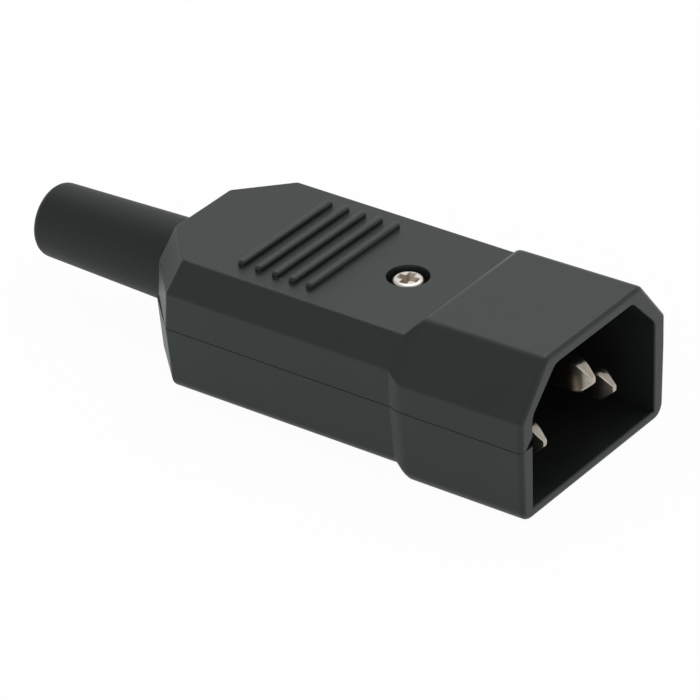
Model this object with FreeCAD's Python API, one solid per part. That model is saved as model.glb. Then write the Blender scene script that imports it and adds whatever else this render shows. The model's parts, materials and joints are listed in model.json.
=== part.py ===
import FreeCAD, Part
import math
import os

from FreeCAD import Vector

# All lengths are millimetres. X runs along the plug towards its mouth, Y across it, Z up.
# A depth is measured from the rim of the mouth towards the cord.

# Mouth that receives the mating connector
cavity_width = 24.5
cavity_height = 16.1
cavity_depth = 16.0
cavity_corner = 4.5
cavity_corner_round = 1.6
wall_side = 2.25
wall_bottom = 1.35
wall_top = 1.55
shroud_flare = 0.24
shroud_corner_width = 5.0
shroud_corner_height = 6.05
shroud_corner_round = 1.2
shroud_bottom_round = 1.8
rim_round = 0.5
shroud_overrun = 0.5
joint_bevel_width = 0.7
joint_bevel_height = 1.4

# Body behind the mouth
step_length = 1.4
step_lean_deg = 3.5
body_width = 28.14
body_base = 1.4
body_height = 15.58
lower_height = 7.9
body_corner = 3.05
body_edge_round = 0.5
body_bottom_round = 1.5
rear_width = 16.3
rear_cut_length = 5.6
rear_lean_deg = 3.8
lower_draft_deg = 2.0
body_wall = 2.4
body_floor = 2.1
body_roof = 2.1
chamber_corner = 1.6
groove_height = 0.1
groove_depth = 0.4
rim_edge_reach = 0.05

# Contact blades
line_spacing = 14.0
line_drop = 3.07
earth_rise = 5.13
blade_height = 4.0
blade_thickness = 2.0
tip_bevel = 1.7
tip_side_length = 1.8
tip_side_bevel = 0.6
line_recess = 1.8
earth_recess = 0.0
blade_clearance = 0.05

# Contact carrier, held in a groove of both shells
end_wall = 1.6
flange_thickness = 3.0
flange_lip = 1.1
nose_side_margin = 2.4
nose_height_margin = 0.8
carrier_clearance = 0.15
tray_floor = 0.8
tray_wall = 0.8
tray_wall_height = 3.0
barrier_gap = 0.4

# Screw terminals
block_length = 8.0
block_width = 4.8
block_gap = 0.4
block_wall_gap = 0.4
terminal_screw_radius = 1.25
terminal_head_height = 1.3
terminal_head_margin = 0.2
terminal_screw_end = 0.5
terminal_slot_width = 0.6
terminal_slot_depth = 0.6
clamp_plate_thickness = 0.6
thread_clearance = 0.05
plate_hole_clearance = 0.15
strip_thickness = 1.0
strip_clearance = 0.2
earth_tab_length = 8.0
rest_length = 4.0

# Screw and nut that hold the shells together
screw_set_back = 4.18
screw_radius = 1.0
screw_head_radius = 1.86
screw_head_height = 1.3
screw_head_round = 0.5
screw_head_sink = 0.3
counterbore_radius = 2.55
screw_hole_clearance = 0.2
boss_radius = 2.4
boss_hole_gap = 0.3
recess_arm_width = 0.8
recess_arm_length = 2.4
recess_depth = 0.8
nut_flats = 4.0
nut_thickness = 1.6
nut_recess = 0.8
nut_clearance = 0.1

# Finger ridges on the upper shell
ridge_count = 5
ridge_pitch = 2.375
ridge_length = 17.5
ridge_width = 1.0
ridge_height = 0.75
ridge_round = 0.4
ridge_set_back = 7.55

# Cord clamp
clamp_gap = 3.2
clamp_bar_length = 5.0
clamp_bar_thickness = 3.0
clamp_bar_margin = 0.2
clamp_arch_thickness = 1.6
clamp_grip_radius = 3.6
clamp_post_radius = 2.4
clamp_post_gap = 1.4
clamp_screw_radius = 1.25
clamp_head_radius = 2.1
clamp_head_height = 1.5
clamp_slot_width = 0.6
clamp_slot_depth = 0.7
clamp_screw_depth = 4.6

# Strain-relief boot
boot_length = 21.9
boot_drop = 0.4
boot_root_radius = 5.2
boot_tip_radius = 4.55
boot_bore_radius = 3.3
boot_tip_round = 1.2
boot_neck_radius = 4.6
boot_neck_length = 3.9
boot_flange_radius = 6.2
boot_flange_thickness = 2.6
boot_clearance = 0.1
cord_way_radius = 4.4
inner_rib = 1.6
chamber_end_gap = 0.8

# Cutting solids run this far past the faces they open
overrun = 1.0

# Depths along the plug
shroud_end = cavity_depth + shroud_overrun
body_start = shroud_end + step_length
pocket_front = cavity_depth + end_wall
pocket_rear = pocket_front + flange_thickness + 2 * carrier_clearance
screw_depth = pocket_rear + screw_set_back
earth_screw_depth = screw_depth + boss_radius + boss_hole_gap + earth_tab_length / 2 + tray_wall
tray_end = earth_screw_depth + earth_tab_length / 2 + tray_wall
clamp_depth = tray_end + clamp_gap + clamp_bar_length / 2
chamber_rear = clamp_depth + clamp_bar_length / 2 + chamber_end_gap
boot_pocket_front = chamber_rear + inner_rib
boot_pocket_rear = boot_pocket_front + boot_flange_thickness + 2 * boot_clearance
body_length = boot_pocket_rear + boot_neck_length
rear_cut_start = body_length - rear_cut_length
mouth_x = (body_length + boot_length) / 2

# Half widths and heights
cavity_half = cavity_width / 2
shroud_half = cavity_half + wall_side
body_half = body_width / 2
chamber_half = body_half - body_wall
cavity_top = wall_bottom + cavity_height
cavity_mid = wall_bottom + cavity_height / 2
shroud_top = cavity_top + wall_top
shroud_rear_top = shroud_top - shroud_flare
body_top = body_base + body_height
parting = body_base + lower_height
chamber_floor = body_base + body_floor
chamber_top = body_top - body_roof
draft = math.tan(math.radians(lower_draft_deg))
step_lean = math.tan(math.radians(step_lean_deg))
rear_lean = math.tan(math.radians(rear_lean_deg))
cord_z = parting - boot_drop

# Contacts
line_y = line_spacing / 2
line_z = cavity_mid - line_drop
earth_z = line_z + earth_rise
line_bottom = line_z - blade_height / 2
line_top = line_z + blade_height / 2
earth_top = earth_z + blade_height / 2
block_outer = chamber_half - block_wall_gap
block_inner = min(block_outer - block_width, line_y - blade_thickness / 2)
block_front = pocket_rear + block_gap
line_screw_depth = block_front + block_length / 2
line_screw_y = (block_inner + block_outer) / 2
line_head_radius = block_width / 2 - terminal_head_margin
strip_bottom = parting + tray_floor
strip_top = strip_bottom + strip_thickness
tray_half = block_inner - barrier_gap
strip_half = tray_half - tray_wall - strip_clearance
strip_rear = earth_screw_depth + earth_tab_length / 2

# Carrier outline
nose_half = line_y + blade_thickness / 2 + nose_side_margin
nose_low = line_bottom - nose_height_margin
nose_high = earth_top + nose_height_margin

# Clamp posts stand either side of the cord
clamp_post_y = clamp_grip_radius + clamp_post_gap + clamp_post_radius
clamp_bar_half = clamp_post_y + clamp_post_radius - clamp_bar_margin


def at(depth, y, z):
    """Point at a depth behind the rim of the mouth."""
    return Vector(mouth_x - depth, y, z)


def rounded_wire(corners, place):
    """Closed wire through corners (u, v, radius), with an arc at each corner that has a radius."""
    starts = []
    ends = []
    arcs = []
    count = len(corners)
    for i, (u, v, radius) in enumerate(corners):
        here = Vector(u, v, 0)
        before = Vector(*corners[i - 1][:2], 0) - here
        after = Vector(*corners[(i + 1) % count][:2], 0) - here
        before.normalize()
        after.normalize()
        half = before.getAngle(after) / 2
        reach = radius / math.tan(half)
        middle = (before + after).normalize() * (radius / math.sin(half) - radius)
        starts.append(here + before * reach)
        ends.append(here + after * reach)
        arcs.append(here + middle)
    edges = []
    for i in range(count):
        if corners[i][2] > 0:
            points = [place(p.x, p.y) for p in (starts[i], arcs[i], ends[i])]
            edges.append(Part.Arc(*points).toShape())
        following = starts[(i + 1) % count]
        edges.append(Part.makeLine(place(ends[i].x, ends[i].y), place(following.x, following.y)))
    return Part.Wire(edges)


def section(depth, corners):
    """Rounded outline across the plug at a depth, in Y and Z."""
    return rounded_wire(corners, lambda y, z: at(depth, y, z))


def leaning_section(depth, corners, lean):
    """Rounded outline that leans towards the mouth away from the joint."""
    return rounded_wire(corners, lambda y, z: at(depth - abs(parting - z) * lean, y, z))


def prism(front, rear, corners):
    """Rounded outline carried straight from one depth to another."""
    return Part.Face(section(rear, corners)).extrude(Vector(rear - front, 0, 0))


def block(front, rear, y_low, y_high, z_low, z_high):
    """Rectangular block between two depths."""
    return Part.makeBox(rear - front, y_high - y_low, z_high - z_low, at(rear, y_low, z_low))


def post(depth, y, z_low, z_high, radius):
    """Upright cylinder."""
    return Part.makeCylinder(radius, z_high - z_low, at(depth, y, z_low))


def tube_way(front, rear, radius):
    """Cylinder along the cord's axis."""
    return Part.makeCylinder(radius, rear - front, at(rear, 0, cord_z), Vector(1, 0, 0))


def keyed_outline(half, low, high, corner_width, corner_height, corner_round):
    """Outline with the two slanted corners of the mouth at its top."""
    return [
        (-half, low, 0),
        (half, low, 0),
        (half, high - corner_height, corner_round),
        (half - corner_width, high, corner_round),
        (corner_width - half, high, corner_round),
        (-half, high - corner_height, corner_round),
    ]


def box_outline(half, low, high):
    """Plain rectangular outline."""
    return [(-half, low, 0), (half, low, 0), (half, high, 0), (-half, high, 0)]


def lower_outline(half, low, bottom_round):
    """Outline of the lower shell: sides lean in from the joint to a rounded bottom."""
    foot = half - (parting - low) * draft
    return [(-half, parting, 0), (-foot, low, bottom_round), (foot, low, bottom_round), (half, parting, 0)]


def inner_spaces():
    """Everything that is hollow inside the two shells."""
    pocket_half = nose_half + flange_lip
    return [
        prism(-overrun, cavity_depth,
              keyed_outline(cavity_half, wall_bottom, cavity_top, cavity_corner, cavity_corner,
                            cavity_corner_round)),
        prism(cavity_depth, pocket_front, box_outline(nose_half, nose_low, nose_high)),
        prism(pocket_front, pocket_rear,
              box_outline(pocket_half, nose_low - flange_lip, nose_high + flange_lip)),
        prism(pocket_rear, chamber_rear,
              keyed_outline(chamber_half, chamber_floor, chamber_top, chamber_corner, chamber_corner, 0)),
        tube_way(chamber_rear, boot_pocket_front, cord_way_radius),
        tube_way(boot_pocket_front, boot_pocket_rear, boot_flange_radius + boot_clearance),
        tube_way(boot_pocket_rear, body_length + overrun, boot_neck_radius + boot_clearance),
    ]


def round_rim(shell):
    """Rounds the outer edge of the mouth, leaving the joint between the shells square."""
    edges = []
    for edge in shell.Edges:
        ends = [vertex.Point for vertex in edge.Vertexes]
        on_rim = all(abs(point.x - mouth_x) < rim_edge_reach for point in ends)
        on_joint = all(abs(point.z - parting) < rim_edge_reach for point in ends)
        if on_rim and not on_joint:
            edges.append(edge)
    return shell.makeFillet(rim_round, edges)


def upper_outside():
    """Outer form of the upper shell as a solid, with a leaning rear."""
    shroud_corners = (shroud_corner_width, shroud_corner_height, shroud_corner_round)
    body_corners = (body_corner, body_corner, body_edge_round)
    shroud = (shroud_half, parting, shroud_top, *shroud_corners)
    shroud_rear = (shroud_half, parting, shroud_rear_top, *shroud_corners)
    body = (body_half, parting, body_top, *body_corners)
    rear = (rear_width / 2, parting, body_top, *body_corners)
    stations = [
        section(0, keyed_outline(*shroud)),
        section(shroud_end, keyed_outline(*shroud_rear)),
        section(body_start, keyed_outline(*body)),
        leaning_section(rear_cut_start, keyed_outline(*body), rear_lean),
        leaning_section(body_length, keyed_outline(*rear), rear_lean),
    ]
    return round_rim(Part.makeLoft(stations, True, True))


def lower_outside():
    """Outer form of the lower shell as a solid, with leaning faces at its step and its rear."""
    shroud = lower_outline(shroud_half, 0, shroud_bottom_round)
    body = lower_outline(body_half, body_base, body_bottom_round)
    rear = lower_outline(rear_width / 2, body_base, body_bottom_round)
    stations = [
        section(0, shroud),
        leaning_section(shroud_end, shroud, step_lean),
        leaning_section(body_start, body, step_lean),
        leaning_section(rear_cut_start, body, rear_lean),
        leaning_section(body_length, rear, rear_lean),
    ]
    return round_rim(Part.makeLoft(stations, True, True))


def joint_groove():
    """Fine groove all round the outside of the joint between the shells."""
    halves = [(0, shroud_half), (shroud_end, shroud_half), (body_start, body_half),
              (rear_cut_start, body_half), (body_length, rear_width / 2)]
    low = parting - groove_height
    outline = [at(depth, half, low) for depth, half in halves]
    outline += [at(depth, -half, low) for depth, half in reversed(halves)]
    wire = Part.makePolygon(outline + outline[:1])
    inside = Part.Face(wire.makeOffset2D(-groove_depth, 2))
    outside = Part.Face(wire.makeOffset2D(overrun, 2))
    return outside.cut(inside).extrude(Vector(0, 0, groove_height))


def ridge(depth):
    """One finger ridge across the top, with round ends and a round crest."""
    half = ridge_width / 2
    end = ridge_length / 2 - half
    foot = body_top - ridge_height
    top = body_top + ridge_height
    bar = block(depth - half, depth + half, -end, end, foot, top)
    bar = bar.fuse([post(depth, side * end, foot, top, half) for side in (-1, 1)]).removeSplitter()
    crest = [edge for edge in bar.Edges if edge.BoundBox.ZMin > body_top]
    return bar.makeFillet(ridge_round, crest)


def upper_shell():
    """Upper half of the housing, with ridges, screw boss and counterbore."""
    shell = upper_outside().cut(inner_spaces())
    boss = post(screw_depth, 0, parting, body_top - screw_head_sink - screw_head_height, boss_radius)
    ridges = [ridge(screw_depth + ridge_set_back + i * ridge_pitch) for i in range(ridge_count)]
    shell = shell.fuse([boss] + ridges)
    hole = post(screw_depth, 0, parting - overrun, body_top, screw_radius + screw_hole_clearance)
    head_seat = body_top - screw_head_sink - screw_head_height
    counterbore = post(screw_depth, 0, head_seat, body_top + overrun, counterbore_radius)
    corners = [(-cavity_half, parting), (-cavity_half - joint_bevel_width, parting),
               (-cavity_half, parting + joint_bevel_height)]
    points = [at(cavity_depth, y, z) for y, z in corners]
    face = Part.Face(Part.makePolygon(points + points[:1]))
    bevel = face.extrude(Vector(cavity_depth + overrun, 0, 0))
    return shell.cut([hole, counterbore, bevel])


def hex_prism(flats, low, high):
    """Hexagonal prism on the screw's axis."""
    radius = flats / math.sqrt(3)
    points = []
    for i in range(6):
        angle = i * math.tau / 6
        points.append(at(screw_depth + radius * math.cos(angle), radius * math.sin(angle), low))
    return Part.Face(Part.makePolygon(points + points[:1])).extrude(Vector(0, 0, high - low))


def lower_shell():
    """Lower half of the housing, with nut pocket, terminal rests, clamp posts and cord saddle."""
    shell = lower_outside().cut(inner_spaces())
    boss = post(screw_depth, 0, body_base, parting, boss_radius)
    posts = [post(clamp_depth, side * clamp_post_y, body_base + body_floor / 2, parting, clamp_post_radius)
             for side in (-1, 1)]
    rests = []
    for side in (-1, 1):
        low, high = sorted((side * block_inner, side * block_outer))
        rests.append(block(line_screw_depth - rest_length / 2, line_screw_depth + rest_length / 2,
                           low, high, chamber_floor - body_floor / 2, line_bottom))
    half_bar = clamp_bar_length / 2
    saddle = block(clamp_depth - half_bar, clamp_depth + half_bar, -clamp_post_y, clamp_post_y,
                   chamber_floor - body_floor / 2, parting)
    shell = shell.fuse([boss, saddle] + posts + rests)
    cuts = [
        tube_way(clamp_depth - half_bar, clamp_depth + half_bar, clamp_grip_radius),
        post(screw_depth, 0, body_base, parting + overrun, screw_radius + screw_hole_clearance),
        hex_prism(nut_flats + 2 * nut_clearance, body_base - overrun,
                  body_base + nut_recess + nut_thickness),
        joint_groove(),
    ]
    for side in (-1, 1):
        cuts.append(post(clamp_depth, side * clamp_post_y, parting - clamp_screw_depth, parting + overrun,
                         clamp_screw_radius + thread_clearance))
    return shell.cut(cuts)


def blade(y, z, recess, tail):
    """Contact blade with a bevelled tip, from its recess behind the rim to its tail."""
    half = blade_height / 2
    profile = [at(tail, 0, z - half), at(recess + tip_bevel, 0, z - half),
               at(recess, 0, z - half + tip_bevel), at(recess, 0, z + half - tip_bevel),
               at(recess + tip_bevel, 0, z + half), at(tail, 0, z + half)]
    side = Part.Face(Part.makePolygon(profile + profile[:1]))
    side.translate(Vector(0, y - blade_thickness / 2, 0))
    side = side.extrude(Vector(0, blade_thickness, 0))
    flank = blade_thickness / 2
    nose = flank - tip_side_bevel
    plan = [at(tail, y - flank, 0), at(recess + tip_side_length, y - flank, 0), at(recess, y - nose, 0),
            at(recess, y + nose, 0), at(recess + tip_side_length, y + flank, 0), at(tail, y + flank, 0)]
    top = Part.Face(Part.makePolygon(plan + plan[:1])).extrude(Vector(0, 0, shroud_top))
    return side.common(top)


def line_pin(side):
    """Live or neutral blade with its terminal block."""
    low, high = sorted((side * block_inner, side * block_outer))
    body = block(block_front, block_front + block_length, low, high, line_bottom, line_top)
    pin = blade(side * line_y, line_z, line_recess, block_front).fuse(body)
    thread = post(line_screw_depth, side * line_screw_y, line_bottom + terminal_screw_end,
                  line_top + overrun, terminal_screw_radius + thread_clearance)
    return pin.cut(thread).removeSplitter()


def earth_pin():
    """Earth blade with a flat tail that passes round the screw boss to its terminal."""
    pin = blade(0, earth_z, earth_recess, pocket_rear)
    riser = block(pocket_front, pocket_rear, -blade_thickness / 2, blade_thickness / 2,
                  min(strip_bottom, earth_z), max(strip_top, earth_z))
    strip = block(pocket_rear, strip_rear, -strip_half, strip_half, strip_bottom, strip_top)
    eye = post(screw_depth, 0, strip_bottom, strip_top, boss_radius + boss_hole_gap)
    thread = post(earth_screw_depth, 0, strip_bottom, strip_top, terminal_screw_radius + thread_clearance)
    return pin.fuse([riser, strip]).cut([eye, thread]).removeSplitter()


def pin_carrier():
    """Insert that closes the mouth, holds the blades and shields the earth tail."""
    nose = block(cavity_depth, pocket_front + carrier_clearance,
                 carrier_clearance - nose_half, nose_half - carrier_clearance,
                 nose_low + carrier_clearance, nose_high - carrier_clearance)
    flange_half = nose_half + flange_lip - carrier_clearance
    flange = block(pocket_front + carrier_clearance, pocket_rear - carrier_clearance,
                   -flange_half, flange_half,
                   nose_low - flange_lip + carrier_clearance, nose_high + flange_lip - carrier_clearance)
    floor = block(pocket_rear - carrier_clearance, tray_end, -tray_half, tray_half, parting, strip_bottom)
    walls = []
    for side in (-1, 1):
        low, high = sorted((side * tray_half, side * (tray_half - tray_wall)))
        walls.append(block(pocket_rear - carrier_clearance, tray_end, low, high, parting,
                           strip_bottom + tray_wall_height))
    carrier = nose.fuse([flange, floor] + walls)
    grip = blade_thickness / 2 + blade_clearance
    cuts = [post(screw_depth, 0, parting, strip_bottom, boss_radius + boss_hole_gap),
            post(earth_screw_depth, 0, parting, strip_bottom, terminal_screw_radius + plate_hole_clearance),
            block(cavity_depth, pocket_rear, -grip, grip, min(strip_bottom, earth_z - blade_height / 2)
                  - blade_clearance, earth_top + blade_clearance)]
    for side in (-1, 1):
        cuts.append(block(cavity_depth, pocket_rear, side * line_y - grip, side * line_y + grip,
                          line_bottom - blade_clearance, line_top + blade_clearance))
    return carrier.cut(cuts).removeSplitter()


def slotted_screw(depth, y, seat, tip, radius, head_radius, head_height, slot_width, slot_depth):
    """Cheese-head screw with a straight slot."""
    screw = post(depth, y, tip, seat, radius).fuse(post(depth, y, seat, seat + head_height, head_radius))
    top = seat + head_height
    slot = block(depth - head_radius, depth + head_radius, y - slot_width / 2, y + slot_width / 2,
                 top - slot_depth, top)
    return screw.cut(slot).removeSplitter()


def terminal_screw(depth, y, land, tip):
    """Screw of one terminal, tight on its clamp plate."""
    return slotted_screw(depth, y, land + clamp_plate_thickness, tip, terminal_screw_radius,
                         line_head_radius, terminal_head_height, terminal_slot_width, terminal_slot_depth)


def clamp_plate(depth, y, land):
    """Square pressure plate that grips a wire under its screw."""
    half = block_width / 2
    plate = block(depth - half, depth + half, y - half, y + half, land, land + clamp_plate_thickness)
    return plate.cut(post(depth, y, land, land + clamp_plate_thickness,
                          terminal_screw_radius + plate_hole_clearance))


def body_screw():
    """Pan-head screw with a cross recess, sunk in the top of the housing."""
    seat = body_top - screw_head_sink - screw_head_height
    head = post(screw_depth, 0, seat, seat + screw_head_height, screw_head_radius)
    crown = [edge for edge in head.Edges if edge.BoundBox.ZMin > seat + screw_head_height / 2]
    head = head.makeFillet(screw_head_round, crown)
    shank = post(screw_depth, 0, body_base + nut_recess, seat, screw_radius)
    top = seat + screw_head_height
    arm = recess_arm_length / 2
    width = recess_arm_width / 2
    cross = [block(screw_depth - arm, screw_depth + arm, -width, width, top - recess_depth, top),
             block(screw_depth - width, screw_depth + width, -arm, arm, top - recess_depth, top)]
    return head.fuse(shank).cut(cross).removeSplitter()


def body_nut():
    """Hexagon nut held in a pocket under the lower shell."""
    low = body_base + nut_recess
    nut = hex_prism(nut_flats, low, low + nut_thickness)
    return nut.cut(post(screw_depth, 0, low, low + nut_thickness, screw_radius + thread_clearance))


def cord_clamp_bar():
    """Arched bar that presses the cord into its saddle."""
    half = clamp_bar_length / 2
    bar = block(clamp_depth - half, clamp_depth + half, -clamp_bar_half, clamp_bar_half,
                parting, parting + clamp_bar_thickness)
    arch = tube_way(clamp_depth - half, clamp_depth + half, clamp_grip_radius + clamp_arch_thickness)
    upper_side = block(clamp_depth - half, clamp_depth + half, -clamp_bar_half, clamp_bar_half,
                       parting, shroud_top)
    cuts = [tube_way(clamp_depth - half, clamp_depth + half, clamp_grip_radius)]
    for side in (-1, 1):
        cuts.append(post(clamp_depth, side * clamp_post_y, parting, parting + clamp_bar_thickness,
                         clamp_screw_radius + plate_hole_clearance))
    return bar.fuse(arch.common(upper_side)).cut(cuts).removeSplitter()


def cord_clamp_screw(side):
    """Screw that draws the clamp bar down on its post."""
    return slotted_screw(clamp_depth, side * clamp_post_y, parting + clamp_bar_thickness,
                         parting - clamp_screw_depth, clamp_screw_radius, clamp_head_radius,
                         clamp_head_height, clamp_slot_width, clamp_slot_depth)


def strain_relief_boot():
    """Tapered hollow boot, held by a flange between the shells."""
    flange_front = boot_pocket_front + boot_clearance
    flange_rear = flange_front + boot_flange_thickness
    end = body_length + boot_length
    profile = [
        (flange_front, boot_bore_radius, 0),
        (flange_front, boot_flange_radius, 0),
        (flange_rear, boot_flange_radius, 0),
        (flange_rear, boot_neck_radius, 0),
        (body_length, boot_neck_radius, 0),
        (body_length, boot_root_radius, 0),
        (end, boot_tip_radius, boot_tip_round),
        (end, boot_bore_radius, 0),
    ]
    wire = rounded_wire(profile, lambda depth, radius: at(depth, 0, cord_z + radius))
    return Part.Face(wire).revolve(at(0, 0, cord_z), Vector(1, 0, 0), 360)


def sub_parts():
    """Every piece of the plug by name."""
    parts = {
        "upper_shell": upper_shell(),
        "lower_shell": lower_shell(),
        "pin_carrier": pin_carrier(),
        "earth_pin": earth_pin(),
        "earth_terminal_screw": terminal_screw(earth_screw_depth, 0, strip_top, parting),
        "earth_clamp_plate": clamp_plate(earth_screw_depth, 0, strip_top),
        "body_screw": body_screw(),
        "body_nut": body_nut(),
        "cord_clamp_bar": cord_clamp_bar(),
        "strain_relief_boot": strain_relief_boot(),
    }
    for name, side in (("line", -1), ("neutral", 1)):
        y = side * line_screw_y
        parts[name + "_pin"] = line_pin(side)
        parts[name + "_terminal_screw"] = terminal_screw(line_screw_depth, y, line_top,
                                                         line_bottom + terminal_screw_end)
        parts[name + "_clamp_plate"] = clamp_plate(line_screw_depth, y, line_top)
    for name, side in (("left", -1), ("right", 1)):
        parts["cord_clamp_screw_" + name] = cord_clamp_screw(side)
    return parts


def main():
    """Writes one file for each piece."""
    os.makedirs("parts", exist_ok=True)
    for name, shape in sub_parts().items():
        shape.exportStep("parts/" + name + ".step")


main()
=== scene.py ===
import json
import math

import bmesh
import bpy
from bpy.props import FloatProperty, FloatVectorProperty, IntProperty, PointerProperty
from bpy.types import Operator, Panel, PropertyGroup
from mathutils import Matrix, Vector


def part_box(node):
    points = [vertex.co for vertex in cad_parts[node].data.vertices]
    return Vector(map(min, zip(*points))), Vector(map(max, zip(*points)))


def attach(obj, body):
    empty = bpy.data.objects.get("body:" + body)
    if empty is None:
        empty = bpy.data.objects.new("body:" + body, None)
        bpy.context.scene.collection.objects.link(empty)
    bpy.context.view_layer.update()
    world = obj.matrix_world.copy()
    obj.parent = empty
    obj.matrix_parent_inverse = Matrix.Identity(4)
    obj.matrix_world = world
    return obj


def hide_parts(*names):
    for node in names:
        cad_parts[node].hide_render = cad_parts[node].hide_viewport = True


bl_info = {
    "name": "Inline power plug",
    "version": (1, 0, 0),
    "blender": (4, 5, 0),
    "location": "3D View > Sidebar > Plug",
    "description": "Models and dresses a two-shell inline power plug around its construction frame",
    "category": "Object",
}

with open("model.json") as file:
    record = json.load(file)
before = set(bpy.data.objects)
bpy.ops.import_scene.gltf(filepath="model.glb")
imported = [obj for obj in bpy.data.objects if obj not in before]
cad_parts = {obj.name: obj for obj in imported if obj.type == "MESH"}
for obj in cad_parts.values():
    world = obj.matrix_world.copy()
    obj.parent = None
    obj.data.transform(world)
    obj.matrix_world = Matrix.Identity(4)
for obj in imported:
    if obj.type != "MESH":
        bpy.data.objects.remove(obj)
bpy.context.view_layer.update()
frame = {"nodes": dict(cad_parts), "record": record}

# The scene is in metres and the sizes below are written in millimetres
MM = 0.001

# Places read from the frame. A depth is measured from the rim of the mouth towards the cord.
UPPER_LOW, UPPER_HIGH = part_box("upper_shell")
LOWER_LOW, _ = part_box("lower_shell")
CARRIER_LOW, CARRIER_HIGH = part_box("pin_carrier")
SCREW_LOW, SCREW_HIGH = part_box("body_screw")
NUT_LOW, NUT_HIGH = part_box("body_nut")
BAR_LOW, BAR_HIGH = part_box("cord_clamp_bar")
BOOT_LOW, BOOT_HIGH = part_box("strain_relief_boot")
LINE_LOW, LINE_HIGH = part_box("line_pin")
EARTH_LOW, EARTH_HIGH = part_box("earth_pin")
MOUTH_X = UPPER_HIGH.x
BODY_LENGTH = UPPER_HIGH.x - UPPER_LOW.x
PARTING = UPPER_LOW.z
CORD_Z = (BOOT_LOW.z + BOOT_HIGH.z) / 2
SHROUD_HALF = UPPER_HIGH.y
SCREW_X = (SCREW_LOW.x + SCREW_HIGH.x) / 2
CLAMP_X = (BAR_LOW.x + BAR_HIGH.x) / 2

# Fineness of the meshes
CORNER_STEPS = 6
EDGE_STEPS = 5
CIRCLE_STEPS = 64
HEXAGON = 6
SHARP_ANGLE = math.radians(32)

# How far a cutting tool reaches past the piece
OVERRUN = MM
# Largest rounding along a blade, as a share of half its size
EDGE_SHARE = 0.6
# Start of a ridge's soft foot under the face, as a share of the foot
SINK_SHARE = 0.1
# Part of a grain's range over which the roughness changes
GRAIN_LOW, GRAIN_HIGH = 0.3, 0.7
# Colour of the shine on the mouldings
SHINE = (0.84, 1.0, 0.94, 1)
# Share of pure white in the table, to the eye and in reflections
TABLE_SEEN, TABLE_MIRRORED = 0.965, 0.75
# Height in the sky at which the pale walls end
SKY_START = 0.75
# Soft lamp and camera, in metres and watts
LAMP_PLACE, LAMP_SIZE, LAMP_POWER = Vector((-0.1, 0.35, 0.75)), 0.6, 3.0
CLIP_START = 0.01


def linear(code):
    """Linear colour of an sRGB hex value."""
    parts = [int(code[i:i + 2], 16) / 255 for i in (0, 2, 4)]
    return tuple(c / 12.92 if c <= 0.04045 else ((c + 0.055) / 1.055) ** 2.4 for c in parts)


def length(millimetres, name, description):
    """Property for a length."""
    return FloatProperty(name=name, description=description, default=millimetres * MM, precision=5,
                         subtype="DISTANCE", unit="LENGTH")


def angle(degrees, name, description):
    """Property for an angle."""
    return FloatProperty(name=name, description=description, default=math.radians(degrees),
                         subtype="ANGLE", unit="ROTATION")


def colour(code, name, description):
    """Property for a colour."""
    return FloatVectorProperty(name=name, description=description, default=linear(code), size=3,
                               min=0.0, max=1.0, subtype="COLOR")


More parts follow.
